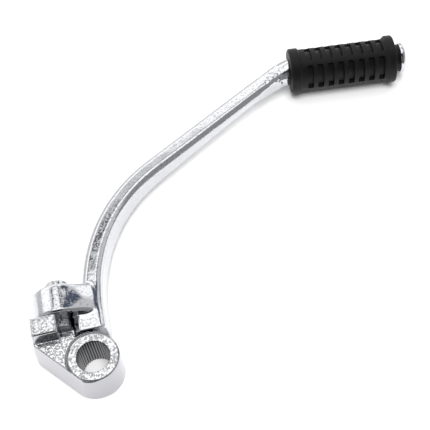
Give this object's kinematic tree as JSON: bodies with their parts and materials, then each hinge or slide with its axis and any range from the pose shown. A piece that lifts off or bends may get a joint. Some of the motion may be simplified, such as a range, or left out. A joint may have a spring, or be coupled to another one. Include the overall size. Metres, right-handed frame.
{
  "type": "kick start lever",
  "caption": "Chromed folding kick start lever: splined boss with a pivot post and stop lug, forged cranked arm and ribbed black rubber grip.",
  "frame": {"origin": "centre of the splined bore at the boss's underside", "axes": "+Z along the bore axis, +Y along the folding pivot away from the bore, +X across the arm towards the grip"},
  "size_m": [0.2316, 0.1796, 0.027],
  "materials": {
    "chrome": "bright chrome over forged steel",
    "rubber": "matt moulded rubber",
    "steel": "plain ground steel"
  },
  "bodies": {
    "boss_body": {"boss": "chrome", "washer": "steel", "circlip": "steel", "detent_spring": "steel"},
    "arm_body": {"kick_arm": "chrome", "grip_rubber": "rubber"},
    "ball_body": {"detent_ball": "steel"}
  },
  "joints": [
    {"name": "arm_fold", "type": "hinge", "parent": "boss_body", "child": "arm_body", "pos_m": [-0.0136, 0.032, 0.0135], "axis": [0, -1, 0], "range_deg": [0, 58]},
    {"name": "ball_slide", "type": "slide", "parent": "boss_body", "child": "ball_body", "axis": [0, 0, 1], "range_m": [0, 0.0005], "stiffness_N_per_m": 1500, "springref_m": 0.002, "deforming": ["detent_spring"]}
  ]
}
